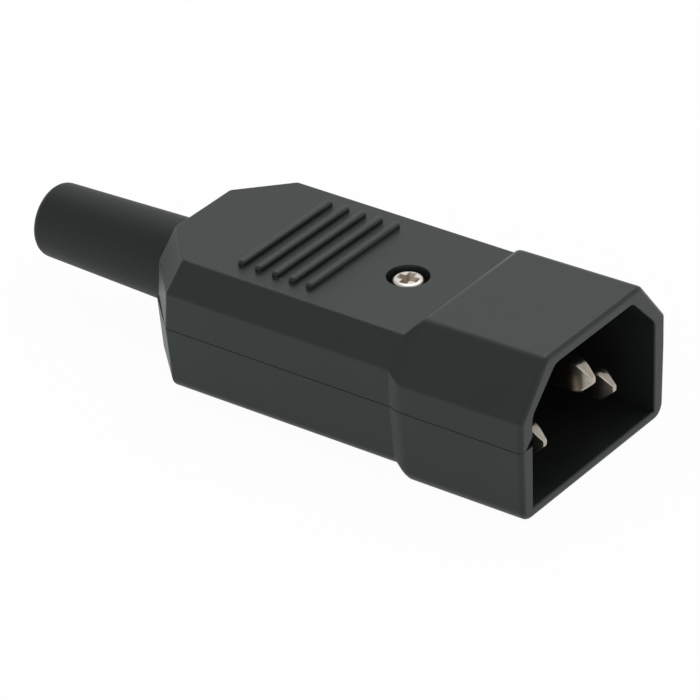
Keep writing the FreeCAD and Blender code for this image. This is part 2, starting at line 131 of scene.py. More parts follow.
class PLUG_PG_housing(PropertyGroup):
    """Sizes of the two shells."""
    cavity_width: length(24.5, "Cavity width", "Inside of the mouth, across the plug")
    cavity_height: length(16.1, "Cavity height", "Inside of the mouth, from floor to roof")
    cavity_depth: length(16.0, "Cavity depth", "From the rim to the floor of the mouth")
    cavity_corner: length(4.5, "Cavity corner", "Slanted corners inside the mouth")
    cavity_corner_round: length(1.6, "Cavity corner round", "Beside the inner slanted corners")
    wall_bottom: length(1.35, "Bottom wall", "Wall under the mouth")
    wall_top: length(1.55, "Top wall", "Wall over the mouth")
    shroud_length: length(16.5, "Shroud length", "Straight part of the mouth's outside")
    shroud_flare: length(0.24, "Shroud flare", "Rise of the mouth's roof towards the rim")
    shroud_corner_width: length(5.0, "Shroud corner width", "Slanted corners outside the mouth")
    shroud_corner_height: length(6.05, "Shroud corner height", "Slanted corners outside the mouth")
    shroud_corner_round: length(1.5, "Shroud corner round", "Above the outer slanted corners")
    shroud_side_round: length(0.6, "Shroud side round", "Below the outer slanted corners")
    shroud_bottom_round: length(1.8, "Shroud bottom round", "Lower corners of the mouth")
    rim_round: length(0.65, "Rim round", "Outer edge of the rim")
    lip_round: length(0.2, "Lip round", "Inner edge of the rim")
    step_length: length(1.4, "Step length", "Slope between mouth and body")
    body_width: length(28.14, "Body width", "Body behind the step")
    body_base: length(1.4, "Body base", "Height of the body's underside")
    body_top: length(16.98, "Body top", "Height of the body's upper face")
    body_corner: length(3.05, "Body corner", "Slanted corners of the body")
    body_edge_round: length(0.5, "Body edge round", "Beside the body's slanted corners")
    body_bottom_round: length(1.5, "Body bottom round", "Lower corners of the body")
    rear_width: length(16.3, "Rear width", "Rear face, between the cut corners")
    rear_cut_length: length(5.6, "Rear cut length", "Length of the cut rear corners")
    rear_round: length(0.3, "Rear round", "Edge round the rear face")
    step_ease: length(0.7, "Step ease", "Soft turn at the rear edge of the mouth")
    bend_ease: length(0.15, "Bend ease", "Soft turn where the body changes direction")
    draft: angle(2.0, "Draft", "Lean of the lower shell's sides")
    step_lean: angle(3.5, "Step lean", "Lean of the lower shell's step")
    rear_lean: angle(3.8, "Rear lean", "Lean of the rear faces away from the joint")
    groove_height: length(0.055, "Groove height", "Fine groove along the joint")
    groove_depth: length(0.4, "Groove depth", "Fine groove along the joint")
    rear_ledge: length(0.35, "Rear ledge", "Lower shell past the upper one at the rear")
    joint_round: length(0.05, "Joint round", "Edges on both sides of the joint")
    joint_bevel_width: length(1.5, "Joint bevel width", "Bevel inside the mouth at the joint")
    joint_bevel_height: length(1.4, "Joint bevel height", "Bevel inside the mouth at the joint")
    wall: length(2.4, "Body wall", "Side wall of the chamber")
    floor: length(2.1, "Body floor", "Floor and roof of the chamber")
    chamber_corner: length(1.6, "Chamber corner", "Slanted corners inside the body")
    chamber_end_gap: length(0.8, "Chamber end gap", "Room behind the cord clamp")
    end_wall: length(1.6, "End wall", "Wall between mouth and carrier flange")
    flange_room: length(3.3, "Flange room", "Length of the carrier's groove")
    flange_lip: length(1.1, "Flange lip", "How far the carrier's flange stands out")
    carrier_clearance: length(0.15, "Carrier clearance", "Gap round the carrier")


class PLUG_PG_fittings(PropertyGroup):
    """Sizes of what is on and in the shells."""
    ridge_count: IntProperty(name="Ridges", description="Finger ridges on top", default=5, min=0)
    ridge_pitch: length(2.375, "Ridge pitch", "Distance between finger ridges")
    ridge_length: length(17.5, "Ridge length", "Finger ridge across the plug")
    ridge_width: length(1.0, "Ridge width", "Finger ridge along the plug")
    ridge_height: length(0.75, "Ridge height", "Finger ridge above the body")
    ridge_round: length(0.4, "Ridge round", "Crest of a finger ridge")
    ridge_foot: length(0.06, "Ridge foot", "Soft foot of a finger ridge")
    ridge_set_back: length(7.55, "Ridge set back", "From the screw to the first ridge")
    counterbore: length(2.5, "Counterbore", "Radius of the recess round the screw")
    counterbore_edge: length(0.12, "Counterbore edge", "Edge of the recess")
    head_radius: length(1.86, "Head radius", "Screw head")
    head_height: length(1.3, "Head height", "Screw head")
    head_round: length(0.45, "Head round", "Crown of the screw head")
    shank_radius: length(1.0, "Shank radius", "Screw shank")
    shank_clearance: length(0.2, "Shank clearance", "Gap round the screw shank")
    thread_pitch: length(0.5, "Thread pitch", "Screw thread")
    thread_height: length(0.12, "Thread height", "Screw thread")
    recess_length: length(2.6, "Recess length", "Cross recess, from arm end to arm end")
    recess_width: length(1.0, "Recess width", "Arm of the cross recess")
    recess_depth: length(0.8, "Recess depth", "Cross recess")
    recess_taper: FloatProperty(name="Recess taper", description="Share of the cross left at its bottom",
                                default=0.55, min=0.1, max=1.0, subtype="FACTOR")
    recess_turn: angle(8, "Recess turn", "Turn of the cross on the head")
    boss_radius: length(2.4, "Boss radius", "Screw boss inside the shells")
    nut_flats: length(4.0, "Nut flats", "Hexagon nut across flats")
    nut_clearance: length(0.1, "Nut clearance", "Gap round the nut")
    nut_chamfer: length(0.25, "Nut chamfer", "Bevel of the nut's corners")
    post_radius: length(2.4, "Post radius", "Clamp posts")
    post_y: length(7.4, "Post offset", "Clamp posts, from the middle")
    post_hole: length(1.3, "Post hole", "Radius of the clamp screws' holes")
    post_hole_depth: length(4.6, "Post hole depth", "Clamp screws' holes below the joint")
    grip_radius: length(3.6, "Grip radius", "Cord way through the clamp")
    rest_length: length(4.0, "Rest length", "Rests under the terminal blocks")


class PLUG_PG_contacts(PropertyGroup):
    """Sizes of the contact blades."""
    spacing: length(14.0, "Spacing", "Between the two line blades")
    height: length(4.0, "Blade height", "Contact blade")
    thickness: length(2.0, "Blade thickness", "Contact blade")
    edge_round: length(0.45, "Blade edge", "Rounding along a blade")
    tip_bevel: length(1.7, "Tip bevel", "Wedge at a blade's tip")
    tip_side_length: length(2.1, "Tip side length", "Side taper at a blade's tip")
    tip_side_bend: length(1.1, "Tip side bend", "Soft turn from a blade's side into its tip")
    tip_side_bevel: length(0.75, "Tip side bevel", "Side taper at a blade's tip")
    tip_round: length(0.2, "Tip round", "End of a blade's tip")
    tip_bend: length(0.6, "Tip bend", "Soft turn from a blade's edge into its tip")
    block_length: length(8.0, "Block length", "Terminal block")
    block_gap: length(0.4, "Block gap", "From the carrier's groove to a terminal block")
    thread_radius: length(1.3, "Thread radius", "Terminal screw holes")
    thread_floor: length(0.5, "Thread floor", "Metal under a terminal screw hole")
    strip_thickness: length(1.0, "Strip thickness", "Tail of the earth blade")
    strip_rise: length(0.8, "Strip rise", "Tail of the earth blade above the joint")
    eye_radius: length(2.7, "Eye radius", "Hole of the earth tail round the screw boss")


class PLUG_PG_boot(PropertyGroup):
    """Sizes of the strain-relief boot."""
    root_radius: length(5.2, "Root radius", "Boot where it leaves the body")
    tip_radius: length(4.55, "Tip radius", "Boot at its far end")
    bore_radius: length(3.3, "Bore radius", "Way for the cord")
    tip_round: length(1.1, "Tip round", "Outer edge of the far end")
    bore_round: length(0.12, "Bore round", "Inner edge of the far end")
    root_round: length(0.25, "Root round", "Edge where it leaves the body")
    neck_radius: length(4.6, "Neck radius", "Boot inside the rear wall")
    flange_radius: length(6.2, "Flange radius", "Boot's flange between the shells")
    flange_thickness: length(2.6, "Flange thickness", "Boot's flange between the shells")
    clearance: length(0.1, "Clearance", "Gap round the boot in the shells")
    cord_way: length(4.4, "Cord way", "Radius of the hole ahead of the boot")


class PLUG_PG_colours(PropertyGroup):
    """Colours of the finishes."""
    housing: colour("1B1E1C", "Housing", "Moulded shells")
    housing_light: colour("202321", "Housing, light", "Paler flow marks of the shells")
    carrier: colour("121312", "Carrier", "Moulded carrier and clamp bar")
    boot: colour("141615", "Boot", "Soft boot")
    boot_light: colour("1A1C1B", "Boot, light", "Paler bloom of the boot")
    blade: colour("C4BCB0", "Blade", "Plated contact blades")
    blade_dull: colour("A39B8F", "Blade, dull", "Stamping marks on the blades")
    zinc: colour("E9E5DE", "Zinc", "Plated screws, plates and nut")
    zinc_dull: colour("CFC9BF", "Zinc, dull", "Cloudier plating")
    # Darker, browner colour given to the plating inside the screw's cross recess
    recess_tone: colour("A38F7E", "Recess tone", "Darker, browner plating in the cross recess")
    floor: colour("F4F4F2", "Floor", "Table under the plug")


class PLUG_PG_stage(PropertyGroup):
    """Camera, sky and table."""
    azimuth: angle(36.60, "Azimuth", "Camera's turn about the vertical")
    elevation: angle(30.41, "Elevation", "Camera above the table")
    roll: angle(-1.68, "Roll", "Camera's turn about its own axis")
    distance: length(552.01, "Distance", "Camera from the point that it looks at")
    lens: FloatProperty(name="Lens", description="Focal length in mm, on a 36 mm sensor",
                        default=248.79)
    look_at: FloatVectorProperty(name="Look at", description="Point in the middle of the picture",
                                 default=(5.80 * MM, -1.37 * MM, 5.58 * MM), size=3, subtype="XYZ")
    floor_radius: length(3000, "Floor radius", "Round table top")
    sky: FloatProperty(name="Sky", description="Light from high up all round", default=0.58, min=0.0)
    horizon: FloatProperty(name="Horizon", description="Light from the pale walls", default=1.0, min=0.0)


def rounded(corners):
    """Points of an outline through corners (u, v, radius), with an arc where the radius isn't 0."""
    points = []
    for i, (u, v, radius) in enumerate(corners):
        here = Vector((u, v))
        if radius == 0:
            points.append(here)
            continue
        before = (Vector(corners[i - 1][:2]) - here).normalized()
        after = (Vector(corners[(i + 1) % len(corners)][:2]) - here).normalized()
        half = before.angle(after) / 2
        centre = here + (before + after).normalized() * radius / math.sin(half)
        start = here + before * radius / math.tan(half) - centre
        end = here + after * radius / math.tan(half) - centre
        first = math.atan2(start.y, start.x)
        turn = (math.atan2(end.y, end.x) - first + math.pi) % math.tau - math.pi
        for k in range(CORNER_STEPS + 1):
            at = first + turn * k / CORNER_STEPS
            points.append(centre + radius * Vector((math.cos(at), math.sin(at))))
    return points


def edge_curve(radius):
    """Steps of a rounded edge as (distance from the end face, distance from the side)."""
    steps = [math.pi / 2 * k / EDGE_STEPS for k in range(EDGE_STEPS + 1)]
    return [(radius * (1 - math.cos(a)), radius * (1 - math.sin(a))) for a in steps]


def circle(radius, steps=CIRCLE_STEPS):
    """Points of a circle about the origin."""
    return [Vector((radius * math.cos(a), radius * math.sin(a)))
            for a in (math.tau * k / steps for k in range(steps))]


def across(x, outline):
    """Ring of an outline in Y and Z, at one place along the plug."""
    return [Vector((x, p.x, p.y)) for p in outline]


def level(z, outline, centre=(0.0, 0.0)):
    """Ring of an outline in X and Y, at one height."""
    return [Vector((centre[0] + p.x, centre[1] + p.y, z)) for p in outline]


def mesh_object(name, bm):
    """Object made of a finished mesh, with its faces turned outwards."""
    bmesh.ops.recalc_face_normals(bm, faces=bm.faces)
    mesh = bpy.data.meshes.new(name)
    bm.to_mesh(mesh)
    bm.free()
    made = bpy.data.objects.new(name, mesh)
    bpy.context.scene.collection.objects.link(made)
    return made


def loft(name, rings):
    """Closed solid through rings of the same number of points, with flat ends."""
    bm = bmesh.new()
    loops = [[bm.verts.new(p) for p in ring] for ring in rings]
    for here, there in zip(loops, loops[1:]):
        for i in range(len(here)):
            bm.faces.new((here[i - 1], here[i], there[i], there[i - 1]))
    bm.faces.new(loops[0])
    bm.faces.new(loops[-1])
    return mesh_object(name, bm)


def block(name, low, high):
    """Rectangular solid between two corners."""
    corners = [(low[0], low[1]), (high[0], low[1]), (high[0], high[1]), (low[0], high[1])]
    outline = [Vector(c) for c in corners]
    return loft(name, [level(low[2], outline), level(high[2], outline)])


def turned(name, x, y, levels, steps=CIRCLE_STEPS):
    """Upright solid through circles of (height, radius)."""
    return loft(name, [level(z, circle(radius, steps), (x, y)) for z, radius in levels])


def post(name, x, y, low, high, radius, steps=CIRCLE_STEPS):
    """Upright cylinder."""
    return turned(name, x, y, [(low, radius), (high, radius)], steps)


def tube_way(name, x_low, x_high, radius):
    """Cylinder along the cord's axis."""
    outline = [p + Vector((0.0, CORD_Z)) for p in circle(radius)]
    return loft(name, [across(x_low, outline), across(x_high, outline)])


def revolved(name, profile):
    """Hollow solid turned about the cord's axis from a closed profile of (x, radius)."""
    bm = bmesh.new()
    loops = []
    for spoke in circle(1.0):
        loops.append([bm.verts.new((x, radius * spoke.x, CORD_Z + radius * spoke.y))
                      for x, radius in profile])
    for k, here in enumerate(loops):
        before = loops[k - 1]
        for i in range(len(profile)):
            bm.faces.new((before[i - 1], before[i], here[i], here[i - 1]))
    return mesh_object(name, bm)


def carve(piece, operation, tools):
    """Joins closed tools to a piece or cuts them out of it, and deletes them."""
    for tool in tools:
        modifier = piece.modifiers.new(tool.name, "BOOLEAN")
        modifier.operation = operation
        modifier.solver = "EXACT"
        modifier.object = tool
    result = piece.evaluated_get(bpy.context.evaluated_depsgraph_get())
    mesh = bpy.data.meshes.new_from_object(result)
    piece.modifiers.clear()
    piece.data = mesh
    for tool in tools:
        bpy.data.objects.remove(tool)


def dress(piece, material, node):
    """Gives a finished piece its finish, its smooth faces and its place in the frame."""
    if not piece.data.materials:
        piece.data.materials.append(material)
    for face in piece.data.polygons:
        face.use_smooth = True
    piece.data.set_sharp_from_angle(angle=SHARP_ANGLE)
    normals = piece.modifiers.new("even flats", "WEIGHTED_NORMAL")
    normals.keep_sharp = True
    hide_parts(node)
    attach(piece, "root")


def add_node(tree, kind, inputs=None, **settings):
    """Adds a node with its settings, and sets or links its inputs."""
    node = tree.nodes.new(kind)
    for name, value in settings.items():
        setattr(node, name, value)
    for socket, value in (inputs or {}).items():
        if isinstance(value, bpy.types.NodeSocket):
            tree.links.new(value, node.inputs[socket])
        else:
            node.inputs[socket].default_value = value
    return node


def noise(tree, place, size, detail, roughness=0.5):
    """Cloudy pattern with patches of about a size in millimetres."""
    inputs = {"Vector": place, "Scale": 1 / (size * MM), "Detail": detail, "Roughness": roughness}
    return add_node(tree, "ShaderNodeTexNoise", inputs).outputs["Fac"]


def blended(tree, share, first, second):
    """Colour between two colours."""
    inputs = {"Factor": share, "A": (*first, 1), "B": (*second, 1)}
    return add_node(tree, "ShaderNodeMix", inputs, data_type="RGBA").outputs["Result"]


def combined(tree, operation, first, second):
    """One value worked out from two."""
    return add_node(tree, "ShaderNodeMath", {0: first, 1: second}, operation=operation).outputs["Value"]


def new_material(name):
    """Empty material: its node tree, the place of its surfaces, and its output node."""
    material = bpy.data.materials.get(name) or bpy.data.materials.new(name)
    material.use_nodes = True
    tree = material.node_tree
    tree.nodes.clear()
    place = add_node(tree, "ShaderNodeTexCoord").outputs["Object"]
    output = add_node(tree, "ShaderNodeOutputMaterial")
    return material, tree, place, output


def grained(tree, output, colour, grain, rough, spread, bump, height, shading):
    """Ends a finish: the grain changes its roughness and raises bumps of a height in millimetres."""
    gloss = add_node(tree, "ShaderNodeMapRange", {
        "Value": grain, "From Min": GRAIN_LOW, "From Max": GRAIN_HIGH,
        "To Min": rough + spread[0], "To Max": rough + spread[1]})
    bumps = add_node(tree, "ShaderNodeBump", {"Height": grain, "Strength": bump, "Distance": height * MM})
    shader = add_node(tree, "ShaderNodeBsdfPrincipled", {
        "Base Color": colour, "Roughness": gloss.outputs["Result"], "Normal": bumps.outputs["Normal"],
        **shading})
    tree.links.new(shader.outputs["BSDF"], output.inputs["Surface"])


def moulded_plastic(name, dark, pale, grain, rough, specular):
    """Satin moulding: flow clouds in its colour, and the fine grain of a spark-eroded mould."""
    material, tree, place, output = new_material(name)
    colour = blended(tree, noise(tree, place, size=6.0, detail=3.0), dark, pale)
    grit = noise(tree, place, size=grain, detail=2.0, roughness=0.6)
    grained(tree, output, colour, grit, rough, spread=(-0.05, 0.06), bump=0.25, height=0.02, shading={
        "IOR": 1.5, "Specular IOR Level": specular, "Specular Tint": SHINE})
    return material


def plated_metal(name, bright, dull, grain, rough, streak):
    """Thin plating: cloudy brightness, with streaks where the metal was rolled or turned."""
    material, tree, place, output = new_material(name)
    stretch = add_node(tree, "ShaderNodeVectorMath", {0: place, 1: streak}, operation="MULTIPLY")
    lines = noise(tree, stretch.outputs["Vector"], size=grain, detail=4.0)
    colour = blended(tree, lines, bright, dull)
    grained(tree, output, colour, lines, rough, spread=(-0.02, 0.03), bump=0.2, height=0.001, shading={
        "Metallic": 1.0})
    return material


def black_abs(colours):
    """ABS, injection moulded: dark and satin, a little paler where the melt flowed together."""
    # The real grain is about 0.05 mm, drawn coarser here so that it shows
    return moulded_plastic(
        "black moulded ABS", colours.housing, colours.housing_light, grain=0.16, rough=0.4, specular=0.39)


def black_nylon(colours):
    """Glass-filled nylon, injection moulded: darker and duller than the shells."""
    return moulded_plastic(
        "black glass-filled nylon", colours.carrier, colours.housing, grain=0.2, rough=0.5, specular=0.3)


def soft_pvc(colours):
    """Soft PVC, injection moulded: silky, with a faint pale bloom."""
    return moulded_plastic(
        "soft moulded PVC", colours.boot, colours.boot_light, grain=0.22, rough=0.55, specular=0.34)


def nickel_brass(colours):
    """Nickel-plated brass, stamped: warm grey, streaked along the blade."""
    return plated_metal(
        "nickel plated brass", colours.blade, colours.blade_dull, grain=0.4, rough=0.22, streak=(0.15, 1, 1))


def zinc_steel(colours):
    """Zinc-plated steel, cold formed: bright and a little cloudy."""
    return plated_metal(
        "zinc plated steel", colours.zinc, colours.zinc_dull, grain=0.4, rough=0.3, streak=(1, 1, 1))


def recess_plating(colours):
    """Zinc-plated steel, darker, browner and duller: the plating inside the cross recess."""
    return plated_metal("darker zinc plate in the cross recess", colours.recess_tone, colours.zinc_dull,
                        grain=0.3, rough=0.4, streak=(1, 1, 0.3))


def keyed(half, low, high, slant, foot_round, side_round, top_round):
    """Corners of an outline with the two slanted corners of the mouth at its top."""
    width, height = slant
    return [
        (-half, low, foot_round), (half, low, foot_round),
        (half, high - height, side_round), (half - width, high, top_round),
        (width - half, high, top_round), (-half, high - height, side_round),
    ]


def slant_inset(width, height, inset):
    """Width and height of a slanted corner after its outline has moved in by a distance."""
    slope = math.hypot(width, height)
    return (width - inset + inset * (slope - width) / height,
            height - inset + inset * (slope - height) / width)


def eased(stations, eases):
    """Stations along the plug, with a soft curve in place of each bend between two runs."""
    soft = [stations[0]]
    for before, here, after, ease in zip(stations, stations[1:], stations[2:], eases):
        start = here.lerp(before, ease / (here[0] - before[0]))
        end = here.lerp(after, ease / (after[0] - here[0]))
        for k in range(EDGE_STEPS + 1):
            t = k / EDGE_STEPS
            soft.append(start.lerp(here, t).lerp(here.lerp(end, t), t))
    soft.append(stations[-1])
    return soft


def with_round_ends(stations, front_round, rear_round):
    """Stations and their insets, from a rounded front edge to a rounded rear edge."""
    first, second = stations[:2]
    before_last, last = stations[-2:]
    steps = []
    for depth, inset in edge_curve(front_round):
        steps.append((first.lerp(second, depth / (second[0] - first[0])), inset))
    steps += [(station, 0.0) for station in stations[1:-1] if station[0] > front_round]
    for depth, inset in reversed(edge_curve(rear_round)):
        steps.append((last.lerp(before_last, depth / (last[0] - before_last[0])), inset))
    return steps


def leaning(x, outline, lean):
    """Ring across the plug that leans towards the mouth away from the joint."""
    return [Vector((x + abs(PARTING - p.y) * lean, p.x, p.y)) for p in outline]


def along_shell(housing, sections):
    """Stations along a shell through its five sections, each with the inset of its round ends."""
    step_end = housing.shroud_length + housing.step_length
    depths = (0.0, housing.shroud_length, step_end, BODY_LENGTH - housing.rear_cut_length, BODY_LENGTH)
    stations = [Vector((depth, *section)) for depth, section in zip(depths, sections)]
    eases = (housing.step_ease, housing.bend_ease, housing.bend_ease)
    return with_round_ends(eased(stations, eases), housing.rim_round, housing.rear_round)


def upper_form(housing):
    """Outer form of the upper shell, without ridges or hollows."""
    body_half = housing.body_width / 2
    shroud_top = housing.wall_bottom + housing.cavity_height + housing.wall_top
    shroud = (housing.shroud_corner_width, housing.shroud_corner_height, housing.shroud_side_round,
              housing.shroud_corner_round)
    body = (housing.body_top, housing.body_corner, housing.body_corner, housing.body_edge_round,
            housing.body_edge_round)
    rear_lean = math.tan(housing.rear_lean)
    sections = (
        (SHROUD_HALF, shroud_top, *shroud, 0.0),
        (SHROUD_HALF, shroud_top - housing.shroud_flare, *shroud, 0.0),
        (body_half, *body, 0.0), (body_half, *body, rear_lean), (housing.rear_width / 2, *body, rear_lean),
    )
    rings = []
    for station, inset in along_shell(housing, sections):
        depth, half, top, width, height, side_turn, top_turn, lean = station
        outline = keyed(half - inset, PARTING, top - inset, slant_inset(width, height, inset),
                        housing.joint_round, side_turn - inset, top_turn - inset)
        rings.append(leaning(MOUTH_X - depth, rounded(outline), lean))
    return loft("housing_upper", rings)


def lower_form(housing):
    """Outer form of the lower shell, with the fine groove under the joint and no hollows."""
    body_half = housing.body_width / 2
    rear_half = housing.rear_width / 2 + housing.rear_ledge
    slope = math.tan(housing.draft)
    step_lean, rear_lean = math.tan(housing.step_lean), math.tan(housing.rear_lean)
    shroud = (SHROUD_HALF, 0.0, housing.shroud_bottom_round)
    base = (housing.body_base, housing.body_bottom_round)
    sections = (
        (*shroud, 0.0), (*shroud, step_lean), (body_half, *base, step_lean),
        (body_half, *base, rear_lean), (rear_half, *base, rear_lean),
    )
    edge = PARTING - housing.groove_height
    rings = []
    for station, inset in along_shell(housing, sections):
        depth, half, low, turn, lean = station
        half -= inset
        low += inset
        foot = half - (PARTING - low) * slope
        inner = half - housing.groove_depth
        outline = rounded([
            (-foot, low, turn - inset), (foot, low, turn - inset),
            (half, edge, housing.joint_round), (inner, edge, 0), (inner, PARTING, 0),
            (-inner, PARTING, 0), (-inner, edge, 0), (-half, edge, housing.joint_round),
        ])
        rings.append(leaning(MOUTH_X - depth, outline, lean))
    return loft("housing_lower", rings)


def hollows(housing, boot):
    """Solids of the spaces inside the two shells, from the mouth to the cord."""
    cavity_top = housing.wall_bottom + housing.cavity_height
    depths = [(-housing.rim_round, housing.lip_round)] + edge_curve(housing.lip_round)
    depths.append((housing.cavity_depth, 0.0))
    rings = []
    for depth, grow in depths:
        slant = slant_inset(housing.cavity_corner, housing.cavity_corner, -grow)
        turn = housing.cavity_corner_round + grow
        outline = keyed(housing.cavity_width / 2 + grow, housing.wall_bottom - grow, cavity_top + grow,
                        slant, 0, turn, turn)
        rings.append(across(MOUTH_X - depth, rounded(outline)))
    mouth = loft("mouth", rings)
    floor_x = MOUTH_X - housing.cavity_depth
    groove_x = floor_x - housing.end_wall
    chamber_x = groove_x - housing.flange_room
    gap = Vector((0, 1, 1)) * housing.carrier_clearance
    low, high = CARRIER_LOW - gap, CARRIER_HIGH + gap
    lip = housing.flange_lip
    window = block("window", (groove_x, low.y + lip, low.z + lip), (floor_x, high.y - lip, high.z - lip))
    groove = block("groove", (chamber_x, low.y, low.z), (groove_x, high.y, high.z))
    chamber_rear = BAR_LOW.x - housing.chamber_end_gap
    slant = (housing.chamber_corner, housing.chamber_corner)
    outline = rounded(keyed(housing.body_width / 2 - housing.wall, housing.body_base + housing.floor,
                            housing.body_top - housing.floor, slant, 0, 0, 0))
    chamber = loft("chamber", [across(chamber_x, outline), across(chamber_rear, outline)])
    pocket_front = BOOT_HIGH.x + boot.clearance
    pocket_rear = BOOT_HIGH.x - boot.flange_thickness - boot.clearance
    return [
        mouth, window, groove, chamber,
        tube_way("cord way", pocket_front, chamber_rear, boot.cord_way),
        tube_way("flange pocket", pocket_rear, pocket_front, boot.flange_radius + boot.clearance),
        tube_way("neck way", UPPER_LOW.x - boot.flange_thickness, pocket_rear,
                 boot.neck_radius + boot.clearance),
    ]


def ridge(housing, fittings, x):
    """One finger ridge across the top, with round ends, a round crest and a soft foot."""
    half = fittings.ridge_width / 2
    end = fittings.ridge_length / 2 - half
    top = housing.body_top + fittings.ridge_height
    foot = fittings.ridge_foot
    levels = [(housing.body_top - housing.floor / 2, foot), (housing.body_top - foot * SINK_SHARE, foot)]
    levels += [(housing.body_top + rise, grow) for rise, grow in edge_curve(foot)[1:]]
    levels += [(top - drop, -inset) for drop, inset in reversed(edge_curve(fittings.ridge_round))]
    half_turn = CIRCLE_STEPS // 2
    rings = []
    for z, grow in levels:
        arc = circle(half + grow)
        near = arc[half_turn:] + arc[:1]
        far = arc[:half_turn + 1]
        outline = [p - Vector((0, end)) for p in near] + [p + Vector((0, end)) for p in far]
        rings.append(level(z, outline, (x, 0.0)))
    return loft("ridge", rings)


class PLUG_OT_upper_shell(Operator):
    """Models the upper shell with its ridges, screw recess and half of the mouth"""
    bl_idname = "plug.upper_shell"
    bl_label = "Upper shell"

    def execute(self, context):
        scene = context.scene
        housing, fittings = scene.plug_housing, scene.plug_fittings
        shell = upper_form(housing)
        first = SCREW_X - fittings.ridge_set_back
        carve(shell, "UNION", [ridge(housing, fittings, first - i * fittings.ridge_pitch)
                               for i in range(fittings.ridge_count)])
        carve(shell, "DIFFERENCE", hollows(housing, scene.plug_boot))
        seat = SCREW_HIGH.z - fittings.head_height
        boss_top = (seat + housing.body_top - housing.floor) / 2
        carve(shell, "UNION", [post("boss", SCREW_X, 0.0, PARTING, boss_top, fittings.boss_radius)])
        hole = fittings.shank_radius + fittings.shank_clearance
        levels = [(LOWER_LOW.z, hole), (seat, hole), (seat, fittings.counterbore)]
        levels += [(housing.body_top - drop, fittings.counterbore + grow)
                   for drop, grow in reversed(edge_curve(fittings.counterbore_edge))]
        levels.append((housing.body_top + housing.floor, fittings.counterbore + fittings.counterbore_edge))
        recess = turned("counterbore", SCREW_X, 0.0, levels)
        wall = -housing.cavity_width / 2
        inside, outside = wall + housing.lip_round, wall - housing.joint_bevel_width
        under, over = PARTING - housing.groove_height, PARTING + housing.joint_bevel_height
        outline = [Vector(corner) for corner in (
            (inside, under), (outside, under), (outside, PARTING), (wall, over), (inside, over))]
        bevel = loft("joint bevel", [across(MOUTH_X - housing.cavity_depth, outline),
                                     across(MOUTH_X + housing.rim_round, outline)])
        carve(shell, "DIFFERENCE", [recess, bevel])
        dress(shell, black_abs(scene.plug_colours), "upper_shell")
        return {"FINISHED"}


class PLUG_OT_lower_shell(Operator):
    """Models the lower shell with its nut pocket, rests, clamp posts and half of the mouth"""
    bl_idname = "plug.lower_shell"
    bl_label = "Lower shell"

    def execute(self, context):
        scene = context.scene
        housing, fittings, contacts = scene.plug_housing, scene.plug_fittings, scene.plug_contacts
        shell = lower_form(housing)
        carve(shell, "DIFFERENCE", hollows(housing, scene.plug_boot))
        inside = housing.body_base + housing.floor / 2
        below, above = LOWER_LOW.z - housing.floor, PARTING + housing.floor
        hole = fittings.shank_radius + fittings.shank_clearance
        joined = [
            post("boss", SCREW_X, 0.0, inside, PARTING, fittings.boss_radius),
            block("saddle", (BAR_LOW.x, -fittings.post_y, inside), (BAR_HIGH.x, fittings.post_y, PARTING)),
        ]
        holes = [
            tube_way("grip", BAR_LOW.x - housing.floor, BAR_HIGH.x + housing.floor, fittings.grip_radius),
            post("hole", SCREW_X, 0.0, below, above, hole),
        ]
        rest_x = LINE_LOW.x + contacts.block_length / 2
        for side in (-1, 1):
            post_y = side * fittings.post_y
            joined.append(post("clamp post", CLAMP_X, post_y, inside, PARTING, fittings.post_radius))
            inner, outer = sorted((side * -LINE_HIGH.y, side * -LINE_LOW.y))
            joined.append(block("rest", (rest_x - fittings.rest_length / 2, inner, inside),
                                (rest_x + fittings.rest_length / 2, outer, LINE_LOW.z)))
            holes.append(post("clamp hole", CLAMP_X, post_y, PARTING - fittings.post_hole_depth, above,
                              fittings.post_hole))
        pocket = (fittings.nut_flats + 2 * fittings.nut_clearance) / math.sqrt(3)
        holes.append(post("nut pocket", SCREW_X, 0.0, below, NUT_HIGH.z, pocket, HEXAGON))
        carve(shell, "UNION", joined)
        carve(shell, "DIFFERENCE", holes)
        dress(shell, black_abs(scene.plug_colours), "lower_shell")
        return {"FINISHED"}


def soft_wedge(back, start, bend):
    """How far a wedge with a slope of one has closed in, at a distance from its tip, after a soft bend."""
    past = max(0.0, start + bend - back)
    return past ** 2 / (4 * bend) if past < 2 * bend else start - back


def blade(name, contacts, y, z, tip_x, tail_x):
    """Contact blade with rounded edges and a soft wedge at its tip."""
    start, bend = contacts.tip_side_length, contacts.tip_side_bend
    slope = contacts.tip_side_bevel / start
    profile = eased([
        Vector((0.0, contacts.height / 2 - contacts.tip_bevel)),
        Vector((contacts.tip_bevel, contacts.height / 2)),
        Vector((start + bend, contacts.height / 2)),
    ], (contacts.tip_bend,))
    before, end = profile[-2:]
    profile[-1:] = [before.lerp(end, k / EDGE_STEPS) for k in range(1, EDGE_STEPS + 1)]
    profile.append(Vector((tip_x - tail_x, contacts.height / 2)))
    rings = []
    for (back, high), inset in with_round_ends(profile, contacts.tip_round, contacts.tip_round):
        wide = contacts.thickness / 2 - slope * soft_wedge(back, start, bend) - inset
        high -= inset
        turn = min(contacts.edge_round, wide * EDGE_SHARE, high * EDGE_SHARE)
        outline = rounded([(y - wide, z - high, turn), (y + wide, z - high, turn),
                           (y + wide, z + high, turn), (y - wide, z + high, turn)])
        rings.append(across(tip_x - back, outline))
    return loft(name, rings)


